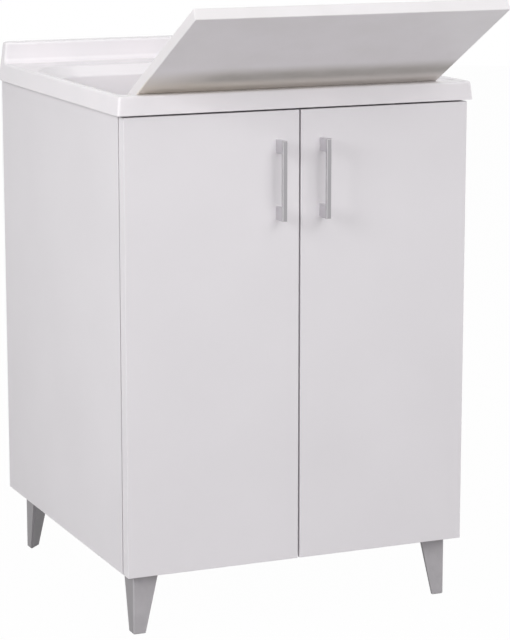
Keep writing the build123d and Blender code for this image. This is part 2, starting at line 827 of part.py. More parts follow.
with BuildPart() as hinge_cups_left:
    mirror(hinge_cups_right.part, about=Plane.YZ)
hinge_cups_left.part.label = "hinge_cups_left"
export_step(hinge_cups_left.part, "parts/hinge_cups_left.step")

with BuildPart() as cup_screws_left:
    mirror(cup_screws_right.part, about=Plane.YZ)
cup_screws_left.part.label = "cup_screws_left"
export_step(cup_screws_left.part, "parts/cup_screws_left.step")

with BuildPart() as hinge_arms_left:
    mirror(hinge_arms_right.part, about=Plane.YZ)
hinge_arms_left.part.label = "hinge_arms_left"
export_step(hinge_arms_left.part, "parts/hinge_arms_left.step")

with BuildPart() as hinge_plates_left:
    mirror(hinge_plates_right.part, about=Plane.YZ)
hinge_plates_left.part.label = "hinge_plates_left"
export_step(hinge_plates_left.part, "parts/hinge_plates_left.step")

# --------------------------------------------------------------- cabinet body
with BuildPart() as side_panel_right:
    with BuildSketch(end_plane(inner_half, 0, 0)):
        with BuildLine():
            Polyline(
                (cabinet_front, leg_height),
                (cabinet_back, leg_height),
                (cabinet_back, skirt_foot - notch_drop),
                (rim_depth / 2 - sheet - notch_clearance, skirt_foot - notch_drop),
                (rim_depth / 2 - sheet - notch_clearance, side_top),
                (cabinet_front, side_top),
                close=True)
        make_face()
    extrude(amount=panel)
    outer_edges = side_panel_right.faces().sort_by(Axis.X)[-1].edges()
    fillet(outer_edges, carcass_round)
    add(carcass_dowels.part, mode=Mode.SUBTRACT)
    add(cam_bolts.part, mode=Mode.SUBTRACT)
    add(hinge_plate_screws.part, mode=Mode.SUBTRACT)
side_panel_right.part.label = "side_panel_right"
export_step(side_panel_right.part, "parts/side_panel_right.step")

with BuildPart() as side_panel_left:
    mirror(side_panel_right.part, about=Plane.YZ)
side_panel_left.part.label = "side_panel_left"
export_step(side_panel_left.part, "parts/side_panel_left.step")


# A board between the two sides, with the holes for its dowels and cams.
def cross_board(front, back, foot, top):
    with BuildPart() as board:
        with BuildSketch(Plane.XY.offset(foot)):
            with Locations((0, (front + back) / 2)):
                Rectangle(2 * inner_half, back - front)
        extrude(amount=top - foot)
        chamfer(board.edges().filter_by(Axis.X), carcass_round)
        add(carcass_dowels.part, mode=Mode.SUBTRACT)
        add(cam_bolts.part, mode=Mode.SUBTRACT)
        add(cam_locks.part, mode=Mode.SUBTRACT)
    return board.part


with BuildPart() as bottom_panel:
    add(cross_board(cabinet_front, cabinet_back, leg_height, floor_panel_top))
    add(leg_bolts.part, mode=Mode.SUBTRACT)
bottom_panel.part.label = "bottom_panel"
export_step(bottom_panel.part, "parts/bottom_panel.step")

with BuildPart() as front_rail:
    add(cross_board(
        cabinet_front, cabinet_front + panel, front_rail_top - front_rail_height, front_rail_top))
front_rail.part.label = "front_rail"
export_step(front_rail.part, "parts/front_rail.step")

with BuildPart() as rear_rail_upper:
    add(cross_board(
        rear_rail_back - panel, rear_rail_back,
        rear_rail_top - seat_gap - rear_rail_height, rear_rail_top - seat_gap))
rear_rail_upper.part.label = "rear_rail_upper"
export_step(rear_rail_upper.part, "parts/rear_rail_upper.step")

with BuildPart() as rear_rail_lower:
    add(cross_board(cabinet_back - panel, cabinet_back, floor_panel_top, foot_rail_top))
rear_rail_lower.part.label = "rear_rail_lower"
export_step(rear_rail_lower.part, "parts/rear_rail_lower.step")


# ----------------------------------------------------------------------- legs
# Plan of a corner leg, its outer corner at (x, y); reach_x and reach_y point to its other ends.
def leg_outline(x, y, along_x, along_y, length, edge):
    with BuildLine() as outline:
        Polyline(
            (x, y),
            (x - along_x * length, y),
            (x - along_x * length, y + along_y * edge),
            (x - along_x * edge, y + along_y * length),
            (x, y + along_y * length),
            close=True)
    return outline.line


def corner_leg(along_x, corner_y, along_y):
    corner_x = along_x * leg_x
    with BuildPart() as leg:
        with BuildSketch(Plane.XY):
            add(leg_outline(corner_x, corner_y, along_x, along_y, leg_foot, leg_edge_foot))
            make_face()
        with BuildSketch(Plane.XY.offset(leg_height - leg_flange_height)):
            add(leg_outline(corner_x, corner_y, along_x, along_y, leg_top, leg_edge_top))
            make_face()
        loft(ruled=True)
        corner_edge = leg.edges().filter_by(
            lambda e: abs(e.center().X - corner_x) < tiny and abs(e.center().Y - corner_y) < tiny)
        chamfer(corner_edge, leg_chamfer)
        foot_edges = leg.faces().sort_by(Axis.Z)[0].edges()
        chamfer(foot_edges, leg_foot_chamfer)
        with BuildSketch(Plane.XY.offset(leg_height - leg_flange_height)) as flange:
            add(leg_outline(corner_x, corner_y, along_x, along_y, leg_top, leg_edge_top))
            make_face()
            offset(amount=leg_flange_step)
        extrude(amount=leg_flange_height)
        add(leg_bolts.part, mode=Mode.SUBTRACT)
    return leg.part


with BuildPart() as leg_front_left:
    add(corner_leg(-1, leg_front_y, 1))
leg_front_left.part.label = "leg_front_left"
export_step(leg_front_left.part, "parts/leg_front_left.step")

with BuildPart() as leg_front_right:
    add(corner_leg(1, leg_front_y, 1))
leg_front_right.part.label = "leg_front_right"
export_step(leg_front_right.part, "parts/leg_front_right.step")

with BuildPart() as leg_rear_left:
    add(corner_leg(-1, leg_back_y, -1))
leg_rear_left.part.label = "leg_rear_left"
export_step(leg_rear_left.part, "parts/leg_rear_left.step")

with BuildPart() as leg_rear_right:
    add(corner_leg(1, leg_back_y, -1))
leg_rear_right.part.label = "leg_rear_right"
export_step(leg_rear_right.part, "parts/leg_rear_right.step")

# ---------------------------------------------------------------------- waste
drain_axis = Axis((0, drain_y, 0), (0, 0, 1))
drain_section = Plane(origin=(0, drain_y, 0), x_dir=(1, 0, 0), z_dir=(0, -1, 0))


# A body turned about the drain's axis, its outline given as (radius, height).
def turned(*outline):
    with BuildPart() as body:
        with BuildSketch(drain_section):
            with BuildLine():
                Polyline(*outline, close=True)
            make_face()
        revolve(axis=drain_axis)
    return body.part


strainer_top = floor_level + strainer_rise
dish_floor = strainer_top - dish_depth
dish_foot_radius = dish_radius - dish_taper
strainer_under = dish_floor - strainer_plate

with BuildPart() as strainer:
    add(turned(
        (strainer_radius, floor_level),
        (strainer_radius, floor_level + strainer_edge),
        (strainer_radius - strainer_bevel, strainer_top),
        (dish_radius + dish_lip, strainer_top),
        (dish_radius, strainer_top - dish_lip),
        (dish_foot_radius, dish_floor),
        (0, dish_floor),
        (0, strainer_under),
        (dish_foot_radius + strainer_plate, strainer_under),
        (dish_radius + strainer_plate, floor_level)))
    with BuildSketch(Plane.XY.offset(strainer_under)):
        with Locations((0, drain_y)):
            Circle(strainer_screw_radius)
            with PolarLocations(strainer_ring_radius, strainer_hole_count):
                Circle(strainer_hole_radius)
    extrude(amount=strainer_plate, mode=Mode.SUBTRACT)
strainer.part.label = "strainer"
export_step(strainer.part, "parts/strainer.step")

with BuildPart() as strainer_screw:
    with BuildSketch(Plane.XY.offset(dish_floor)):
        with Locations((0, drain_y)):
            Circle(strainer_screw_head)
    extrude(amount=strainer_screw_rise)
    fillet(strainer_screw.faces().sort_by(Axis.Z)[-1].edges(), small_head_round)
    with BuildSketch(Plane.XY.offset(dish_floor)):
        with Locations((0, drain_y)):
            Circle(strainer_screw_radius)
    extrude(amount=-strainer_screw_length)
strainer_screw.part.label = "strainer_screw"
export_step(strainer_screw.part, "parts/strainer_screw.step")

gasket_under = floor_under - gasket_thickness
with BuildPart() as waste_gasket:
    with BuildSketch(Plane.XY.offset(gasket_under)):
        with Locations((0, drain_y)):
            Circle(waste_flange_radius - gasket_inset)
            Circle(waste_hole_radius + gasket_inset, mode=Mode.SUBTRACT)
    extrude(amount=gasket_thickness)
waste_gasket.part.label = "waste_gasket"
export_step(waste_gasket.part, "parts/waste_gasket.step")

waste_flange_under = gasket_under - waste_flange_thickness
waste_cup_foot = waste_flange_under - waste_cup_depth
cone_foot = waste_cup_foot - waste_cone
tail_end = cone_foot - tail_length
port_level = floor_under - port_drop
hub_top = strainer_under - hub_gap
waste_bore = waste_cup_radius - waste_wall

with BuildPart() as waste_body:
    add(turned(
        (0, gasket_under),
        (waste_flange_radius, gasket_under),
        (waste_flange_radius, waste_flange_under),
        (waste_cup_radius, waste_flange_under),
        (waste_cup_radius, waste_cup_foot),
        (tail_radius, cone_foot),
        (tail_radius, tail_end),
        (0, tail_end)))
    with BuildSketch(back_plane(0, drain_y, port_level)):
        Circle(port_radius)
    extrude(amount=port_length)
    add(turned(
        (0, gasket_under),
        (waste_bore, gasket_under),
        (waste_bore, waste_cup_foot),
        (tail_radius - tail_wall, cone_foot),
        (tail_radius - tail_wall, tail_end),
        (0, tail_end)), mode=Mode.SUBTRACT)
    with BuildSketch(back_plane(0, drain_y, port_level)):
        Circle(port_radius - port_wall)
    extrude(amount=port_length, mode=Mode.SUBTRACT)
    with BuildSketch(Plane.XY.offset(hub_top - hub_height)):
        with Locations((0, drain_y)):
            Circle(hub_radius)
            with PolarLocations(0, hub_rib_count, start_angle=-90):
                Rectangle(waste_bore + waste_wall / 2, hub_rib, align=(Align.MIN, Align.CENTER))
    extrude(amount=hub_height)
    add(strainer_screw.part, mode=Mode.SUBTRACT)
waste_body.part.label = "waste_body"
export_step(waste_body.part, "parts/waste_body.step")

# The plug's flange lies on the strainer, its body hangs in the dish.
plug_seat = strainer_top + rest_gap
plug_foot = dish_floor + strainer_screw_rise + plug_bottom_gap
plug_foot_radius = plug_radius - dish_taper * (plug_seat - plug_foot) / dish_depth
plug_top = plug_seat + plug_flange_thickness

with BuildPart() as plug:
    add(turned(
        (0, plug_foot),
        (plug_foot_radius, plug_foot),
        (plug_radius, plug_seat),
        (plug_flange_radius, plug_seat),
        (plug_flange_radius, plug_top - plug_bevel),
        (plug_flange_radius - plug_bevel, plug_top),
        (0, plug_top)))
    with BuildSketch(Plane.XY.offset(plug_top - knob_stem_depth)):
        with Locations((0, drain_y)):
            Circle(knob_stem_radius)
    extrude(amount=knob_stem_depth, mode=Mode.SUBTRACT)
plug.part.label = "plug"
export_step(plug.part, "parts/plug.step")

with BuildPart() as plug_knob:
    add(turned(
        (0, plug_top - knob_stem_depth),
        (knob_stem_radius, plug_top - knob_stem_depth),
        (knob_stem_radius, plug_top + knob_height - knob_radius),
        (knob_radius, plug_top + knob_height - knob_radius / 2),
        (knob_radius, plug_top + knob_height - knob_bevel),
        (knob_radius - knob_bevel, plug_top + knob_height),
        (0, plug_top + knob_height)))
plug_knob.part.label = "plug_knob"
export_step(plug_knob.part, "parts/plug_knob.step")

# ------------------------------------------------------------------- overflow
housing_front = overflow_plane.offset(sheet + seat_gap)

with BuildPart() as overflow_screw:
    with BuildSketch(overflow_plane.offset(-grille_thickness)):
        Circle(overflow_screw_head)
    extrude(amount=-overflow_head_rise)
    fillet(overflow_screw.edges().sort_by(Axis.Y)[0], small_head_round)
    with BuildSketch(overflow_plane.offset(-grille_thickness)):
        Circle(overflow_screw_radius)
    extrude(amount=grille_thickness + sheet + housing_depth / 2)
overflow_screw.part.label = "overflow_screw"
export_step(overflow_screw.part, "parts/overflow_screw.step")

with BuildPart() as overflow_grille:
    with BuildSketch(overflow_plane.offset(-grille_thickness)):
        Circle(grille_radius)
    extrude(amount=grille_thickness)
    fillet(overflow_grille.edges().sort_by(Axis.Y)[0], grille_round)
    with BuildSketch(overflow_plane.offset(-grille_thickness)):
        for side in (-1, 1):
            with Locations((0, side * (overflow_screw_head + slot_width))):
                SlotOverall(slot_length, slot_width)
            with Locations((0, side * (overflow_screw_head + slot_width + slot_pitch))):
                SlotOverall(slot_length * slot_shortening, slot_width)
    extrude(amount=grille_thickness, mode=Mode.SUBTRACT)
    add(overflow_screw.part, mode=Mode.SUBTRACT)
overflow_grille.part.label = "overflow_grille"
export_step(overflow_grille.part, "parts/overflow_grille.step")

spigot_y = housing_front.origin.Y + housing_depth / 2
spigot_end = overflow_level - spigot_length
with BuildPart() as overflow_housing:
    with BuildSketch(housing_front):
        Circle(housing_flange_radius)
    extrude(amount=housing_flange_thickness)
    with BuildSketch(housing_front):
        Circle(housing_radius)
    extrude(amount=housing_depth)
    with BuildSketch(Plane.XY.offset(spigot_end)):
        with Locations((0, spigot_y)):
            Circle(spigot_radius)
    extrude(amount=spigot_length)
    with BuildSketch(housing_front):
        Circle(housing_radius - housing_wall)
    extrude(amount=housing_depth - housing_wall, mode=Mode.SUBTRACT)
    with BuildSketch(Plane.XY.offset(spigot_end)):
        with Locations((0, spigot_y)):
            Circle(spigot_radius - housing_wall)
    extrude(amount=spigot_length, mode=Mode.SUBTRACT)
    with BuildSketch(housing_front.offset(housing_depth)):
        Circle(overflow_screw_head)
    extrude(amount=-housing_boss_length)
    add(overflow_screw.part, mode=Mode.SUBTRACT)
overflow_housing.part.label = "overflow_housing"
export_step(overflow_housing.part, "parts/overflow_housing.step")

hose_inner = port_radius + hose_fit
hose_outer = hose_inner + hose_wall
hose_start = (spigot_y, spigot_end + hose_overlap)
hose_end = (drain_y + port_length - hose_overlap, port_level)
with BuildPart() as overflow_hose:
    with BuildLine(Plane.YZ) as hose_path:
        drop = Line(hose_start, (spigot_y, port_level + hose_bend))
        bend = RadiusArc(drop @ 1, (spigot_y - hose_bend, port_level), hose_bend)
        Line(bend @ 1, hose_end)
    with BuildSketch(Plane.XY.offset(hose_start[1])):
        with Locations((0, spigot_y)):
            Circle(hose_outer)
            Circle(hose_inner, mode=Mode.SUBTRACT)
    sweep()
overflow_hose.part.label = "overflow_hose"
export_step(overflow_hose.part, "parts/overflow_hose.step")

# ----------------------------------------------------------------------- trap
neck_top = tail_end - dip_collar
trap_top = neck_top - neck_height
trap_foot = trap_top - trap_height
outlet_level = trap_top - outlet_drop
neck_radius = tail_radius - neck_step
dip_top = tail_end + dip_above
cup_bore = trap_radius + cup_fit
trap_cup_top = trap_foot + trap_cup_overlap
trap_cup_foot = trap_cup_top - trap_cup_height
dip_end = trap_cup_foot + trap_cup_wall + dip_foot
socket_bore = outlet_radius + pipe_fit
socket_radius = socket_bore + socket_wall
socket_end = drain_y + trap_radius + socket_length

with BuildPart() as dip_tube:
    add(turned(
        (dip_radius - dip_wall, dip_end),
        (dip_radius, dip_end),
        (dip_radius, neck_top),
        (tail_radius, neck_top),
        (tail_radius, tail_end),
        (dip_radius, tail_end),
        (dip_radius, dip_top),
        (dip_radius - dip_wall, dip_top)))
dip_tube.part.label = "dip_tube"
export_step(dip_tube.part, "parts/dip_tube.step")

with BuildPart() as trap_body:
    add(turned(
        (0, neck_top),
        (tail_radius, neck_top),
        (tail_radius, neck_top - neck_collar),
        (neck_radius, neck_top - neck_collar),
        (neck_radius, trap_top),
        (trap_radius - trap_bevel, trap_top),
        (trap_radius, trap_top - trap_bevel),
        (trap_radius, trap_foot),
        (0, trap_foot)))
    with BuildSketch(back_plane(0, drain_y, outlet_level)):
        Circle(socket_radius)
    extrude(amount=trap_radius + socket_length)
    add(turned(
        (0, neck_top),
        (neck_bore, neck_top),
        (neck_bore, trap_top - trap_wall),
        (trap_radius - trap_wall, trap_top - trap_wall - trap_bevel),
        (trap_radius - trap_wall, trap_foot),
        (0, trap_foot)), mode=Mode.SUBTRACT)
    with BuildSketch(back_plane(0, drain_y + trap_radius - trap_wall, outlet_level)):
        Circle(outlet_radius - outlet_wall)
    extrude(amount=socket_length + trap_wall, mode=Mode.SUBTRACT)
    with BuildSketch(back_plane(0, drain_y + trap_radius + socket_stop, outlet_level)):
        Circle(socket_bore)
    extrude(amount=socket_length, mode=Mode.SUBTRACT)
trap_body.part.label = "trap_body"
export_step(trap_body.part, "parts/trap_body.step")

with BuildPart() as trap_inlet_nut:
    with BuildSketch(Plane.XY.offset(neck_top - neck_collar - nut_lip)):
        with Locations((0, drain_y)):
            RegularPolygon(inlet_nut_radius, nut_side_count)
    extrude(amount=inlet_nut_height)
    fillet(trap_inlet_nut.edges().filter_by(Axis.Z), nut_round)
    add(turned(
        (0, neck_top - neck_collar - nut_lip),
        (neck_radius + pipe_fit, neck_top - neck_collar - nut_lip),
        (neck_radius + pipe_fit, neck_top - neck_collar),
        (tail_radius + pipe_fit, neck_top - neck_collar),
        (tail_radius + pipe_fit, neck_top + inlet_nut_height),
        (0, neck_top + inlet_nut_height)), mode=Mode.SUBTRACT)
trap_inlet_nut.part.label = "trap_inlet_nut"
export_step(trap_inlet_nut.part, "parts/trap_inlet_nut.step")

with BuildPart() as trap_cup:
    add(turned(
        (0, trap_cup_foot),
        (cup_bore + trap_cup_wall - trap_bevel, trap_cup_foot),
        (cup_bore + trap_cup_wall, trap_cup_foot + trap_bevel),
        (cup_bore + trap_cup_wall, trap_cup_top),
        (cup_bore, trap_cup_top),
        (cup_bore, trap_cup_foot + trap_cup_wall),
        (0, trap_cup_foot + trap_cup_wall)))
    with BuildSketch(Plane.XY.offset(trap_cup_foot + trap_bevel)):
        with Locations((0, drain_y)):
            with PolarLocations(cup_bore + trap_cup_wall, grip_count):
                Circle(grip_radius)
            Circle(cup_bore + trap_cup_wall / 2, mode=Mode.SUBTRACT)
    extrude(amount=grip_height)
trap_cup.part.label = "trap_cup"
export_step(trap_cup.part, "parts/trap_cup.step")

pipe_start = drain_y + trap_radius + socket_stop
pipe_end = cabinet_back - outlet_end_gap
adapter_start = pipe_end - adapter_length
with BuildPart() as outlet_pipe:
    with BuildSketch(back_plane(0, pipe_start, outlet_level)):
        Circle(outlet_radius)
    extrude(amount=adapter_start - pipe_start)
    with BuildSketch(back_plane(0, adapter_start, outlet_level)):
        Circle(adapter_radius)
    extrude(amount=adapter_length)
    with BuildSketch(back_plane(0, pipe_start, outlet_level)):
        Circle(outlet_radius - outlet_wall)
    extrude(amount=adapter_start - pipe_start + adapter_web, mode=Mode.SUBTRACT)
    with BuildSketch(back_plane(0, adapter_start + adapter_web, outlet_level)):
        Circle(adapter_radius - outlet_wall)
    extrude(amount=adapter_length, mode=Mode.SUBTRACT)
outlet_pipe.part.label = "outlet_pipe"
export_step(outlet_pipe.part, "parts/outlet_pipe.step")

with BuildPart() as outlet_nut:
    with BuildSketch(back_plane(0, socket_end - outlet_nut_length + outlet_nut_lip, outlet_level)):
        RegularPolygon(outlet_nut_radius, nut_side_count)
    extrude(amount=outlet_nut_length)
    fillet(outlet_nut.edges().filter_by(Axis.Y), nut_round)
    with BuildSketch(back_plane(0, socket_end - outlet_nut_length + outlet_nut_lip, outlet_level)):
        Circle(socket_radius + pipe_fit)
    extrude(amount=outlet_nut_length - outlet_nut_lip, mode=Mode.SUBTRACT)
    with BuildSketch(back_plane(0, socket_end, outlet_level)):
        Circle(socket_bore)
    extrude(amount=outlet_nut_lip, mode=Mode.SUBTRACT)
outlet_nut.part.label = "outlet_nut"
export_step(outlet_nut.part, "parts/outlet_nut.step")
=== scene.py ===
import json
import math

import bmesh
import bpy
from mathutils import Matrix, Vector


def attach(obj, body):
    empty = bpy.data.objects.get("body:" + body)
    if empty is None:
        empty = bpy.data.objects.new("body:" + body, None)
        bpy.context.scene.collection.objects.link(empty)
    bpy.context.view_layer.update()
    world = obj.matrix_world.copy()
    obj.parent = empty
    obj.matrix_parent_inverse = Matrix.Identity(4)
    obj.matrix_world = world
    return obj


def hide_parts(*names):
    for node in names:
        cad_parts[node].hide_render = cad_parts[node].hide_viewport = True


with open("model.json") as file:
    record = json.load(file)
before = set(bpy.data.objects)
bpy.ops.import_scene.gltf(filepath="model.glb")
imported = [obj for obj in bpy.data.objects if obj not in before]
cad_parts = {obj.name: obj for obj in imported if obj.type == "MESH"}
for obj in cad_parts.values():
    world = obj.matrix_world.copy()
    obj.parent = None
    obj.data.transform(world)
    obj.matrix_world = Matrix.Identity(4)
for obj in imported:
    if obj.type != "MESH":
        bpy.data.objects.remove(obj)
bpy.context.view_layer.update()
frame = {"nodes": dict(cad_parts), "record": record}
nodes = frame["nodes"]
print("frame loaded:", len(nodes), "nodes")


def hexToLinear(code):
    # sRGB hex to the linear colour the shader wants
    channels = [int(code[i:i + 2], 16) / 255 for i in (1, 3, 5)]
    linear = [c / 12.92 if c <= 0.04045 else ((c + 0.055) / 1.055) ** 2.4 for c in channels]
    return (*linear, 1.0)


def addNode(tree, kind, inputs=None, **settings):
    # one node with its settings; an input is a value or another node's output
    node = tree.nodes.new("ShaderNode" + kind)
    for name, value in settings.items():
        setattr(node, name, value)
    for name, value in (inputs or {}).items():
        if isinstance(value, bpy.types.NodeSocket):
            tree.links.new(value, node.inputs[name])
        else:
            node.inputs[name].default_value = value
    return node


def perMetre(millimetres):
    # texture scale for a feature of this size
    return 1000 / millimetres


def newMaterial(name):
    material = bpy.data.materials.new(name)
    material.use_nodes = True
    tree = material.node_tree
    tree.nodes.clear()
    shader = addNode(tree, "BsdfPrincipled")
    addNode(tree, "OutputMaterial", {"Surface": shader.outputs["BSDF"]})
    where = addNode(tree, "TexCoord").outputs["Object"]
    return material, tree, shader, where


# A noise's values nearly all fall between these; the closer pair gives a crisper edge.
noiseSpan = (0.3, 0.7)
closeSpan = (0.35, 0.65)


def layOver(tree, below, above, pattern, span, share):
    # lays the second colour over the first: so much of it at each end of the pattern's span
    amount = addNode(tree, "MapRange", {
        "Value": pattern, "From Min": span[0], "From Max": span[1],
        "To Min": share[0], "To Max": share[1]})
    below, above = (hexToLinear(c) if isinstance(c, str) else c for c in (below, above))
    mixed = addNode(tree, "Mix", {0: amount.outputs["Result"], 6: below, 7: above}, data_type="RGBA")
    return mixed.outputs[2]


def dress(tree, shader, colour, wear, roughness, relief, strength, depth):
    # joins the colour, a roughness that wanders with the wear, and a fine relief in metres
    rough = addNode(tree, "MapRange", {
        "Value": wear, "From Min": noiseSpan[0], "From Max": noiseSpan[1],
        "To Min": roughness[0], "To Max": roughness[1]})
    bump = addNode(tree, "Bump", {"Height": relief, "Strength": strength, "Distance": depth})
    tree.links.new(colour, shader.inputs["Base Color"])
    tree.links.new(rough.outputs["Result"], shader.inputs["Roughness"])
    tree.links.new(bump.outputs["Normal"], shader.inputs["Normal"])


# Basin: cast sanitary acrylic, polished in the mould. A very even cool white with a soft gloss
# and the slightest orange peel, with painted shade making it a little greyer where walls meet.
basinLook = {
    "white": "#f4f0f3", "shade": "#f0edf0", "cloud": 140.0, "rub": 28.0, "peel": 5.0,
    "peelDepth": 0.000006,
    "peelStrength": 0.3, "roughness": (0.22, 0.27), "ior": 1.49,
    "corner": "#bdbab9", "cornerReach": 0.016, "cornerSpan": (0.45, 1.0), "cornerTone": 0.25,
}


def stainBand(tree, where, lean, stain):
    # how much of a painted band lies on a spot of the sloping underside: 1 in the middle of the band
    slope = math.radians(lean["slope"])
    alongSlope = (0, -math.cos(slope), math.sin(slope))
    offSlope = (0, math.sin(slope), math.cos(slope))
    run = addNode(tree, "VectorMath", {0: where, 1: alongSlope}, operation="DOT_PRODUCT")
    lift = addNode(tree, "VectorMath", {0: where, 1: offSlope}, operation="DOT_PRODUCT")
    across = addNode(tree, "SeparateXYZ", {"Vector": where})
    uneven = addNode(tree, "TexNoise", {
        "Vector": where, "Scale": perMetre(stain["uneven"]), "Detail": 4.0})
    line = Vector((0, *lean["line"]))
    zero, plane = line.dot(Vector(alongSlope)), line.dot(Vector(offSlope))
    start, full, fade, end = (zero + v / 1000 for v in stain["band"])
    skin = [plane + v for v in lean["skin"]]
    band = 1.0
    for pattern, span, share in (
            (run.outputs["Value"], (start, full), (0, 1)),
            (run.outputs["Value"], (fade, end), (1, 0)),
            (lift.outputs["Value"], skin, (1, 0)),
            (across.outputs["X"], stain["across"], (stain["thin"], 1)),
            (uneven.outputs["Fac"], noiseSpan, lean["mottle"])):
        part = addNode(tree, "MapRange", {
            "Value": pattern, "From Min": span[0], "From Max": span[1],
            "To Min": share[0], "To Max": share[1]}, interpolation_type="SMOOTHSTEP")
        product = addNode(tree, "Math", {0: band, 1: part.outputs["Result"]}, operation="MULTIPLY")
        band = product.outputs[0]
    return band


def castAcrylic(name, look):
    material, tree, shader, where = newMaterial(name)
    cloud = addNode(tree, "TexNoise", {
        "Vector": where, "Scale": perMetre(look["cloud"]), "Detail": 3.0, "Roughness": 0.5})
    peel = addNode(tree, "TexNoise", {
        "Vector": where, "Scale": perMetre(look["peel"]), "Detail": 1.0})
    rub = addNode(tree, "TexNoise", {
        "Vector": where, "Scale": perMetre(look["rub"]), "Detail": 6.0, "Roughness": 0.65})
    # painted shade: the colour greys where surfaces nearly meet, within the reach
    corner = addNode(tree, "AmbientOcclusion", {"Distance": look["cornerReach"]}, samples=12)
    colour = layOver(tree, look["white"], look["shade"], cloud.outputs["Fac"], closeSpan, (0, 1))
    colour = layOver(tree, colour, look["corner"], corner.outputs["AO"], look["cornerSpan"],
                     (look["cornerTone"], 0))
    # painted shade and painted reflections laid in bands across the sloping underside
    for stain in look.get("stains", ()):
        band = stainBand(tree, where, look["lean"], stain)
        colour = layOver(tree, colour, stain["colour"], band, (0, 1), (0, 1))
    dress(tree, shader, colour, rub.outputs["Fac"], look["roughness"],
          peel.outputs["Fac"], look["peelStrength"], look["peelDepth"])
    shader.inputs["IOR"].default_value = look["ior"]
    return material


# Washboard: injection moulded ABS, polished mould, a touch warmer than the basin. A soft grey
# band of painted shade and dark reflection crosses its underside just above the basin's front
# edge, over a wider and faint cream one of painted warm reflection from the lip. Bands start,
# fill, fade and end along the slope, in millimetres from the line where the underside passes
# the lip; the skin is in metres.
boardLook = {
    "white": "#f1eef0", "shade": "#edeaeb", "cloud": 90.0, "rub": 18.0, "peel": 2.2,
    "peelDepth": 0.00001,
    "peelStrength": 0.35, "roughness": (0.28, 0.40), "ior": 1.53,
    "corner": "#c9c5c2", "cornerReach": 0.01, "cornerSpan": (0.45, 1.0), "cornerTone": 0.2,
    "lean": {"slope": 28.5, "line": (-0.27366, 0.85), "skin": (0.001, 0.003), "mottle": (0.9, 1)},
    "stains": (
        {"colour": "#ebe3d8", "band": (-60, -30, 15, 95), "across": (0.2, -0.2), "thin": 0.5,
         "uneven": 45.0},
        {"colour": "#b4b0aa", "band": (22, 45, 50, 92), "across": (-0.25, -0.12), "thin": 0.15,
         "uneven": 30.0},
    ),
}

# Doors: MDF sprayed with white polyurethane lacquer. A cool white, satin, with the soft
# mottle that spraying leaves.
doorLook = {
    "white": "#eeebee", "shade": "#ebe8eb", "cloud": 170.0, "patch": 42.5, "spray": 1.6,
    "sprayDepth": 0.000012, "sprayStrength": 0.3, "roughness": (0.34, 0.42), "ior": 1.50,
}


def sprayedLacquer(name, look):
    material, tree, shader, where = newMaterial(name)
    cloud = addNode(tree, "TexNoise", {
        "Vector": where, "Scale": perMetre(look["cloud"]), "Detail": 2.0})
    spray = addNode(tree, "TexNoise", {
        "Vector": where, "Scale": perMetre(look["spray"]), "Detail": 2.0, "Roughness": 0.4})
    patch = addNode(tree, "TexNoise", {
        "Vector": where, "Scale": perMetre(look["patch"]), "Detail": 5.0})
    colour = layOver(tree, look["white"], look["shade"], cloud.outputs["Fac"], noiseSpan, (0, 1))
    dress(tree, shader, colour, patch.outputs["Fac"], look["roughness"],
          spray.outputs["Fac"], look["sprayStrength"], look["sprayDepth"])
    shader.inputs["IOR"].default_value = look["ior"]
    return material


# Cabinet boards: chipboard faced with white melamine, pressed with a fine pearl texture
# that breaks up the reflections.
melamineLook = {
    "white": "#edeaed", "shade": "#eae7ea", "cloud": 240.0, "pearl": 0.9, "pearlDepth": 0.00003,
    "pearlStrength": 0.35, "roughness": (0.43, 0.50), "ior": 1.55,
}


def pressedMelamine(name, look):
    material, tree, shader, where = newMaterial(name)
    pearl = addNode(tree, "TexVoronoi", {
        "Vector": where, "Scale": perMetre(look["pearl"]), "Smoothness": 1.0}, feature="SMOOTH_F1")
    cloud = addNode(tree, "TexNoise", {
        "Vector": where, "Scale": perMetre(look["cloud"]), "Detail": 3.0})
    colour = layOver(tree, look["white"], look["shade"], cloud.outputs["Fac"], noiseSpan, (0, 1))
    dress(tree, shader, colour, cloud.outputs["Fac"], look["roughness"],
          pearl.outputs["Distance"], look["pearlStrength"], look["pearlDepth"])
    shader.inputs["IOR"].default_value = look["ior"]
    return material


# Legs: silver-grey ABS with a spark-eroded mould texture, matt with a faint metallic fleck.
legLook = {
    "grey": "#bdbabd", "shade": "#b5b2b5", "fleck": "#cdcacd", "grain": 0.8, "grainDepth": 0.00004,
    # the side and under colours are painted shade
    "roughness": 0.42, "ior": 1.53, "side": "#979497", "sideSpan": (0.75, 0.9),
    "under": "#6a676b", "underReach": 0.3, "underSpan": (0.1, 0.55), "underTone": 0.7,
}
# All the moulded plastics: clouds and flecks in shares of the grain, and how far the grain
# moves the roughness.
plasticForm = {"cloud": 30, "fleck": 0.8, "fleckSpan": (0.12, 0.3), "fleckTone": 0.5,
               "smoother": 0.05, "rougher": 0.08, "strength": 0.4}


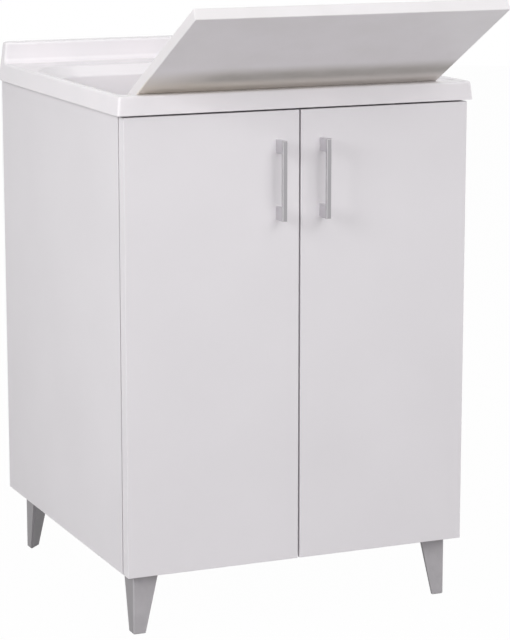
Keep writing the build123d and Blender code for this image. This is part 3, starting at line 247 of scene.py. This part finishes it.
def texturedPlastic(name, look):
    material, tree, shader, where = newMaterial(name)
    grain = addNode(tree, "TexNoise", {
        "Vector": where, "Scale": perMetre(look["grain"]), "Detail": 3.0, "Roughness": 0.6})
    cloud = addNode(tree, "TexNoise", {
        "Vector": where, "Scale": perMetre(look["grain"] * plasticForm["cloud"]), "Detail": 2.0})
    fleck = addNode(tree, "TexVoronoi", {
        "Vector": where, "Scale": perMetre(look["grain"] * plasticForm["fleck"])})
    roughness = (look["roughness"] - plasticForm["smoother"], look["roughness"] + plasticForm["rougher"])
    colour = layOver(tree, look["grey"], look["shade"], cloud.outputs["Fac"], closeSpan, (0, 1))
    colour = layOver(tree, colour, look["fleck"], fleck.outputs["Distance"], plasticForm["fleckSpan"],
                     (plasticForm["fleckTone"], 0))
    if "side" in look:
        # painted shade: darker on the faces to the left and right, and on legs far under the cabinet
        facing = addNode(tree, "SeparateXYZ", {
            "Vector": addNode(tree, "TexCoord").outputs["Normal"]})
        across = addNode(tree, "Math", {0: facing.outputs["X"]}, operation="ABSOLUTE")
        shelter = addNode(tree, "AmbientOcclusion", {"Distance": look["underReach"]}, samples=12)
        colour = layOver(tree, colour, look["side"], across.outputs[0], look["sideSpan"], (0, 1))
        colour = layOver(tree, colour, look["under"], shelter.outputs["AO"], look["underSpan"],
                         (look["underTone"], 0))
    dress(tree, shader, colour, grain.outputs["Fac"], roughness,
          grain.outputs["Fac"], plasticForm["strength"], look["grainDepth"])
    shader.inputs["IOR"].default_value = look["ior"]
    return material


# Metals. Handles: die-cast zinc, satin nickel plated and brushed along its length, so its
# highlights are long and soft. The front faces carry painted shade, darker; the posts, from a plane
# across the cabinet's depth in metres, carry a painted highlight, brighter.
handleLook = {"metal": "#cbc9cb", "dark": "#c0bec1", "line": 0.35, "along": "Z", "roughness": 0.33,
              "brush": 0.000012, "front": "#9f9da0", "frontSpan": (-0.98, -0.85),
              "post": "#d5d3d6", "postSpan": (-0.3200, -0.3198)}
# Hinges: pressed steel, nickel plated, bright with faint drawing lines.
hingeLook = {"metal": "#c6c4bf", "dark": "#b4b2ad", "line": 0.6, "along": "Y", "roughness": 0.24,
             "brush": 0.000008}
# Screws and bolts: zinc plated steel, slightly blue and uneven.
zincLook = {"metal": "#bcbfc3", "dark": "#a5a7a4", "line": 0.5, "along": "Z", "roughness": 0.34,
            "brush": 0.000006}
# Waste fittings in the bowl: polished stainless steel with hairline wear.
steelLook = {"metal": "#cdced0", "dark": "#bfc0c2", "line": 0.4, "along": "X", "roughness": 0.18,
             "brush": 0.000004}
# Cam locks: raw die-cast zinc, dull and grainy.
castLook = {"metal": "#9a9b9d", "dark": "#858688", "line": 1.2, "along": "Z", "roughness": 0.5,
            "brush": 0.00002}
# All the metals: how long a line and how wide a change of tone is in line widths, and how far
# the lines move the roughness.
metalForm = {"length": 60, "tone": 50, "smoother": 0.05, "rougher": 0.07, "strength": 0.4}


def brushedMetal(name, look):
    material, tree, shader, where = newMaterial(name)
    stretch = {axis: perMetre(look["line"]) for axis in "XYZ"}
    stretch[look["along"]] = perMetre(look["line"] * metalForm["length"])
    spread = addNode(tree, "Mapping", {
        "Vector": where, "Scale": (stretch["X"], stretch["Y"], stretch["Z"])})
    lines = addNode(tree, "TexNoise", {
        "Vector": spread.outputs["Vector"], "Scale": 1.0, "Detail": 4.0, "Roughness": 0.6})
    tone = addNode(tree, "TexNoise", {
        "Vector": where, "Scale": perMetre(look["line"] * metalForm["tone"]), "Detail": 2.0})
    roughness = (look["roughness"] - metalForm["smoother"], look["roughness"] + metalForm["rougher"])
    colour = layOver(tree, look["metal"], look["dark"], tone.outputs["Fac"], closeSpan, (0, 1))
    # painted shade on the front faces and a painted highlight on the posts
    if "front" in look:
        facing = addNode(tree, "SeparateXYZ", {
            "Vector": addNode(tree, "TexCoord").outputs["Normal"]})
        depth = addNode(tree, "SeparateXYZ", {"Vector": where})
        colour = layOver(tree, colour, look["front"], facing.outputs["Y"], look["frontSpan"], (1, 0))
        colour = layOver(tree, colour, look["post"], depth.outputs["Y"], look["postSpan"], (0, 1))
    dress(tree, shader, colour, lines.outputs["Fac"], roughness,
          lines.outputs["Fac"], metalForm["strength"], look["brush"])
    shader.inputs["Metallic"].default_value = 1.0
    return material


# Waste pipes: white polypropylene, extruded and moulded, with a waxy half shine.
pipeLook = {"grey": "#eceae5", "shade": "#e3e1dc", "fleck": "#efeeea", "grain": 2.5,
            "grainDepth": 0.00003, "roughness": 0.38, "ior": 1.49}
# Overflow hose: grey corrugated polyethylene, dull.
hoseLook = {"grey": "#b4b6b8", "shade": "#a6a8ab", "fleck": "#b9bbbd", "grain": 2.0,
            "grainDepth": 0.00003, "roughness": 0.5, "ior": 1.51}
# Seals and plug: black nitrile rubber, moulded, with a dusty bloom.
rubberLook = {"grey": "#26272a", "shade": "#1e1f21", "fleck": "#303134", "grain": 1.2,
              "grainDepth": 0.00004, "roughness": 0.58, "ior": 1.52}
# Door bumpers: soft clear polyurethane, which looks milky against the white door.
bumperLook = {"grey": "#e3e5e8", "shade": "#d7dadd", "fleck": "#eceef0", "grain": 1.5,
              "grainDepth": 0.00002, "roughness": 0.3, "ior": 1.5}

# Dowels: turned beech, fluted, with short dark rays.
beechLook = {"wood": "#c8a37a", "ray": "#a9825a", "rayLength": 3.0, "rayWidth": 0.35,
             "raySpan": (0.45, 0.7), "rayDepth": 0.00005, "rayStrength": 0.4, "roughness": 0.62}


def turnedBeech(name, look):
    material, tree, shader, where = newMaterial(name)
    spread = addNode(tree, "Mapping", {
        "Vector": where,
        "Scale": (perMetre(look["rayLength"]), perMetre(look["rayWidth"]), perMetre(look["rayWidth"]))})
    rays = addNode(tree, "TexNoise", {
        "Vector": spread.outputs["Vector"], "Scale": 1.0, "Detail": 4.0, "Roughness": 0.7})
    colour = layOver(tree, look["wood"], look["ray"], rays.outputs["Fac"], look["raySpan"], (0, 1))
    tree.links.new(colour, shader.inputs["Base Color"])
    bump = addNode(tree, "Bump", {
        "Height": rays.outputs["Fac"], "Strength": look["rayStrength"], "Distance": look["rayDepth"]})
    tree.links.new(bump.outputs["Normal"], shader.inputs["Normal"])
    shader.inputs["Roughness"].default_value = look["roughness"]
    return material


# Overflow grille: chrome plated ABS, mirror bright with a few fine wipe marks.
chromeLook = {"metal": "#d6d7d9", "dark": "#cfd0d2", "line": 0.8, "along": "X", "roughness": 0.09,
              "brush": 0.000002}

finishes = {
    "basin_plastic": castAcrylic("castAcrylicWhite", basinLook),
    "board_plastic": castAcrylic("mouldedAbsWhite", boardLook),
    "white_lacquer": sprayedLacquer("sprayedLacquerWhite", doorLook),
    "white_melamine": pressedMelamine("pressedMelamineWhite", melamineLook),
    "leg_grey": texturedPlastic("texturedAbsSilver", legLook),
    "satin_nickel": brushedMetal("satinNickelBrushed", handleLook),
    "nickel_steel": brushedMetal("nickelSteelPressed", hingeLook),
    "zinc_steel": brushedMetal("zincPlatedSteel", zincLook),
    "bright_steel": brushedMetal("stainlessPolished", steelLook),
    "cast_zinc": brushedMetal("zincDieCast", castLook),
    "chromed_plastic": brushedMetal("chromedAbs", chromeLook),
    "pipe_plastic": texturedPlastic("polypropyleneWhite", pipeLook),
    "hose_grey": texturedPlastic("polyethyleneGrey", hoseLook),
    "seal_rubber": texturedPlastic("nitrileRubberSeal", rubberLook),
    "plug_rubber": texturedPlastic("nitrileRubberPlug", rubberLook),
    "clear_rubber": texturedPlastic("polyurethaneClear", bumperLook),
    "beech": turnedBeech("turnedBeech", beechLook),
}

slotOf = {row["node"]: row["material_slot"] for row in frame["record"]["subparts"]}
for name, piece in nodes.items():
    piece.data.materials.clear()
    piece.data.materials.append(finishes[slotOf[name]])
print("finishes:", len(finishes))

sameSpot = 0.00001  # metres; corners closer than this are one
sharpFrom = 35  # degrees; edges bent more than this stay crisp


def looseParts(node):
    # lowest and highest corner of each separate solid in a node, in the mesh's own order
    mesh = bmesh.new()
    mesh.from_mesh(nodes[node].data)
    mesh.transform(nodes[node].matrix_world)
    bmesh.ops.remove_doubles(mesh, verts=mesh.verts, dist=sameSpot)
    waiting = set(mesh.verts)
    boxes = []
    for first in mesh.verts:
        if first not in waiting:
            continue
        waiting.remove(first)
        found = [first]
        for vert in found:
            for edge in vert.link_edges:
                other = edge.other_vert(vert)
                if other in waiting:
                    waiting.remove(other)
                    found.append(other)
        boxes.append((Vector([min(v.co[i] for v in found) for i in range(3)]),
                      Vector([max(v.co[i] for v in found) for i in range(3)])))
    mesh.free()
    return boxes


def latheInto(mesh, outline, place, aim, segments, carve):
    # turns (radius, height) pairs round the line from place along aim; carve shifts heights
    turn = aim.to_track_quat("Z", "Y").to_matrix()
    rings = []
    for radius, height in outline:
        if radius == 0:
            shift = carve(0, 0, height)
            rings.append([mesh.verts.new(place + turn @ Vector((0, 0, height + shift)))])
            continue
        ring = []
        for i in range(segments):
            angle = 2 * math.pi * i / segments
            x = radius * math.cos(angle)
            y = radius * math.sin(angle)
            shift = carve(x, y, height)
            ring.append(mesh.verts.new(place + turn @ Vector((x, y, height + shift))))
        rings.append(ring)
    for lower, upper in zip(rings, rings[1:]):
        for i in range(segments):
            j = (i + 1) % segments
            corners = []
            for vert in (lower[i % len(lower)], lower[j % len(lower)],
                         upper[j % len(upper)], upper[i % len(upper)]):
                if vert not in corners:
                    corners.append(vert)
            mesh.faces.new(corners)


def finishPiece(name, mesh, material, body, *replaced):
    bmesh.ops.recalc_face_normals(mesh, faces=mesh.faces)
    data = bpy.data.meshes.new(name)
    mesh.to_mesh(data)
    mesh.free()
    for face in data.polygons:
        face.use_smooth = True
    data.set_sharp_from_angle(angle=math.radians(sharpFrom))
    data.materials.append(finishes[material])
    piece = bpy.data.objects.new(name, data)
    bpy.context.scene.collection.objects.link(piece)
    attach(piece, body)
    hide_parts(*replaced)


# Screws: pan heads with a cross recess, rolled threads on the shank. Sizes in millimetres;
# along is the axis, 0 to 2 for X to Z.
screws = {
    "hinge_arm_screws": {"along": 0, "head": 1.4, "headRadius": 3.6, "shank": 2.0, "body": "cabinet"},
    "hinge_plate_screws": {"along": 0, "head": 1.4, "headRadius": 3.4, "shank": 2.5, "body": "cabinet"},
    "cup_screws_left": {"along": 1, "head": 1.4, "headRadius": 3.4, "shank": 1.75, "body": "door_left"},
    "cup_screws_right": {"along": 1, "head": 1.4, "headRadius": 3.4, "shank": 1.75, "body": "door_right"},
    "handle_screws_left": {"along": 1, "head": 2.4, "headRadius": 4.0, "shank": 2.0, "body": "door_left"},
    "handle_screws_right": {"along": 1, "head": 2.4, "headRadius": 4.0, "shank": 2.0, "body": "door_right"},
    "strainer_screw": {"along": 2, "head": 1.8, "headRadius": 5.0, "shank": 3.0, "body": "cabinet"},
}
# The recess in shares of the head's radius and height, the thread in shares of the shank's
# radius, and the dome's rows from the middle to the rim.
recessForm = {"arm": 0.17, "reach": 0.62, "depth": 0.55, "rise": 0.75, "edge": 0.6}
threadForm = {"pitch": 0.55, "root": 0.82, "neck": 0.8, "tip": 0.25}
domeForm = {"rows": (0, 0.08, 0.16, 0.22, 0.3, 0.4, 0.5, 0.6, 0.66, 0.8, 0.93, 1), "drop": 0.5,
            "sides": 32}


def screwInto(mesh, low, high, look):
    # head towards the middle of the cabinet, or to its back or top
    axis = look["along"]
    middle = (low + high) / 2
    aim = Vector((0, 0, 0))
    aim[axis] = -math.copysign(1, middle[0]) if axis == 0 else 1
    top = middle.copy()
    top[axis] = high[axis] if aim[axis] > 0 else low[axis]
    length = (high[axis] - low[axis]) * 1000
    wide, shank, head = look["headRadius"], look["shank"], look["head"]
    arm, reach = wide * recessForm["arm"], wide * recessForm["reach"]

    def recess(x, y, height):
        # four tapered arms sunk into the head
        x, y = abs(x * 1000), abs(y * 1000)
        if height < -head * recessForm["edge"] / 1000 or min(x, y) > arm or max(x, y) > reach:
            return 0
        return -head * recessForm["depth"] / 1000 * (1 - recessForm["rise"] * max(x, y) / reach)

    rows = [(wide * t, -head * domeForm["drop"] * t ** 4) for t in domeForm["rows"]]
    rows += [(wide, -head), (shank, -head)]
    pitch = shank * threadForm["pitch"]
    level = -head - pitch
    while level > -length + 2 * pitch:
        rows += [(shank * threadForm["root"], level), (shank, level - pitch / 2)]
        level -= pitch
    rows += [(shank * threadForm["neck"], -length + pitch), (shank * threadForm["tip"], -length),
             (0, -length)]
    latheInto(mesh, [(r / 1000, h / 1000) for r, h in rows], top, aim, domeForm["sides"], recess)


for node, look in screws.items():
    mesh = bmesh.new()
    for low, high in looseParts(node):
        screwInto(mesh, low, high, look)
    finishPiece(node + "Cross", mesh, slotOf[node], look["body"], node)
print("screws:", len(screws))

# Overflow hose: blow-moulded, ribbed all along, with a plain cuff at each end. Sizes in
# millimetres.
hose = {"radius": 13.5, "valley": 12.1, "bore": 11.1, "rib": 4.2, "cuff": 17.0, "bend": 40.0,
        "step": 0.7, "sides": 40}


def hoseRun(low, high):
    # points and directions down the drop, round the bend and forward to the waste, in metres
    bend = hose["bend"] / 1000
    radius = hose["radius"] / 1000
    back, level = high[1] - radius, low[2] + radius
    drop = high[2] - level - bend
    forward = back - bend - low[1]
    arc = bend * math.pi / 2
    total = drop + arc + forward
    count = round(total * 1000 / hose["step"])
    for i in range(count + 1):
        travel = total * i / count
        if travel < drop:
            yield travel, total, Vector((0, back, high[2] - travel)), Vector((0, 0, -1))
        elif travel < drop + arc:
            angle = (travel - drop) / bend
            yield (travel, total, Vector((0, back - bend + bend * math.cos(angle),
                                          level + bend - bend * math.sin(angle))),
                   Vector((0, -math.sin(angle), -math.cos(angle))))
        else:
            yield (travel, total, Vector((0, back - bend - (travel - drop - arc), level)),
                   Vector((0, -1, 0)))


def ribbedHose():
    mesh = bmesh.new()
    low, high = looseParts("overflow_hose")[0]
    segments = hose["sides"]
    outer, inner = [], []
    for travel, total, place, along in hoseRun(low, high):
        side = Vector((1, 0, 0))
        up = along.cross(side)
        fromEnd = min(travel, total - travel) * 1000
        wave = 0.5 + 0.5 * math.cos(2 * math.pi * (fromEnd - hose["cuff"]) / hose["rib"])
        wide = hose["radius"] if fromEnd < hose["cuff"] else (
            hose["valley"] + (hose["radius"] - hose["valley"]) * wave)
        for rings, radius in ((outer, wide / 1000), (inner, hose["bore"] / 1000)):
            rings.append([mesh.verts.new(
                place + radius * (math.cos(a) * side + math.sin(a) * up))
                for a in (2 * math.pi * i / segments for i in range(segments))])
    for rings in (outer, inner):
        for lower, upper in zip(rings, rings[1:]):
            for i in range(segments):
                j = (i + 1) % segments
                mesh.faces.new((lower[i], lower[j], upper[j], upper[i]))
    for end in (0, -1):
        for i in range(segments):
            j = (i + 1) % segments
            mesh.faces.new((outer[end][i], outer[end][j], inner[end][j], inner[end][i]))
    finishPiece("overflowHoseRibbed", mesh, "hose_grey", "cabinet", "overflow_hose")


ribbedHose()
print("hose ready")

# Camera at the photographer's place, held upright, with a long lens. Its focal length and the
# picture's height are in pixels, the sensor's long side in millimetres.
view = {"place": (-1.5780, -3.7918, 1.2554), "turn": 23.26, "tilt": 11.33, "focal": 2495.5,
        "pictureHeight": 640, "sensor": 36, "farthest": 60}
cameraData = bpy.data.cameras.new("camera")
cameraData.sensor_width = view["sensor"]
cameraData.lens = view["focal"] / view["pictureHeight"] * view["sensor"]
cameraData.clip_end = view["farthest"]
camera = bpy.data.objects.new("camera", cameraData)
camera.location = view["place"]
camera.rotation_euler = (math.radians(90 - view["tilt"]), 0, math.radians(-view["turn"]))
bpy.context.scene.collection.objects.link(camera)
bpy.context.scene.camera = camera

# Studio: a pale floor and sky that read white to the camera, and soft boxes all round. The
# one at the left stands close to the front edge, so the side fades towards the wall.
studio = {
    "sky": "#ffffff", "skyLight": 0.25, "floor": "#c8c6c8", "floorShown": 0.985, "floorRadius": 9,
    "floorSides": 64,
    "lamps": {
        "leftBox": {"place": (-2.4, -0.9, 1.7), "size": 1.2, "power": 35, "colour": "#ffffff"},
        "fillBox": {"place": (1.2, -2.8, 2.6), "size": 2.0, "power": 20.5, "colour": "#ffffff"},
        "frontBox": {"place": (0, -5.5, 2.6), "size": 4.0, "power": 87, "colour": "#ffffff"},
        "rightBox": {"place": (4.2, -0.6, 2.2), "size": 3.0, "power": 30.5, "colour": "#ffffff"},
        "topBox": {"place": (0, 0, 4.2), "size": 3.0, "power": 20.5, "colour": "#ffffff"},
    },
    "aim": (0, 0, 0.5),
}


def softLamp(name, lamp, aim):
    data = bpy.data.lights.new(name, "AREA")
    data.shape = "SQUARE"
    data.size = lamp["size"]
    data.energy = lamp["power"]
    data.color = hexToLinear(lamp["colour"])[:3]
    obj = bpy.data.objects.new(name, data)
    obj.location = lamp["place"]
    direction = Vector(aim) - Vector(lamp["place"])
    obj.rotation_euler = direction.to_track_quat("-Z", "Y").to_euler()
    bpy.context.scene.collection.objects.link(obj)


for name, lamp in studio["lamps"].items():
    softLamp(name, lamp, studio["aim"])


def seenRays(tree):
    # 1 for the camera's rays and for those that come back from metal or pass through glass
    rays = addNode(tree, "LightPath")
    shiny = addNode(tree, "Math", {0: rays.outputs["Is Camera Ray"], 1: rays.outputs["Is Glossy Ray"]},
                    operation="MAXIMUM")
    clear = addNode(tree, "Math", {0: shiny.outputs[0], 1: rays.outputs["Is Transmission Ray"]},
                    operation="MAXIMUM")
    return clear.outputs[0]


world = bpy.data.worlds.new("studioSky")
bpy.context.scene.world = world
world.use_nodes = True
sky = world.node_tree
sky.nodes.clear()
level = addNode(sky, "MapRange", {
    "Value": seenRays(sky), "To Min": studio["skyLight"], "To Max": 1.0})
backdrop = addNode(sky, "Background", {
    "Color": hexToLinear(studio["sky"]), "Strength": level.outputs["Result"]})
addNode(sky, "OutputWorld", {"Surface": backdrop.outputs["Background"]})

floorMesh = bmesh.new()
floorEdge = []
for i in range(studio["floorSides"]):
    angle = 2 * math.pi * i / studio["floorSides"]
    floorEdge.append(floorMesh.verts.new((
        studio["floorRadius"] * math.cos(angle), studio["floorRadius"] * math.sin(angle), 0)))
floorMesh.faces.new(floorEdge)
floorData = bpy.data.meshes.new("floor")
floorMesh.to_mesh(floorData)
floorMesh.free()
floor = bpy.data.objects.new("floor", floorData)
bpy.context.scene.collection.objects.link(floor)

# Paper sweep: the camera sees its own plain white, with a faint share of the shaded floor.
floorMaterial = bpy.data.materials.new("paperWhite")
floorMaterial.use_nodes = True
paper = floorMaterial.node_tree
paper.nodes.clear()
matt = addNode(paper, "BsdfDiffuse", {"Color": hexToLinear(studio["floor"])})
glow = addNode(paper, "Emission", {"Color": hexToLinear(studio["sky"]), "Strength": 1.0})
shown = addNode(paper, "Math", {0: seenRays(paper), 1: studio["floorShown"]}, operation="MULTIPLY")
mixed = addNode(paper, "MixShader", {
    0: shown.outputs[0], 1: matt.outputs["BSDF"], 2: glow.outputs["Emission"]})
addNode(paper, "OutputMaterial", {"Surface": mixed.outputs["Shader"]})
floorData.materials.append(floorMaterial)

bpy.context.scene.view_settings.view_transform = "Standard"
print("studio ready")
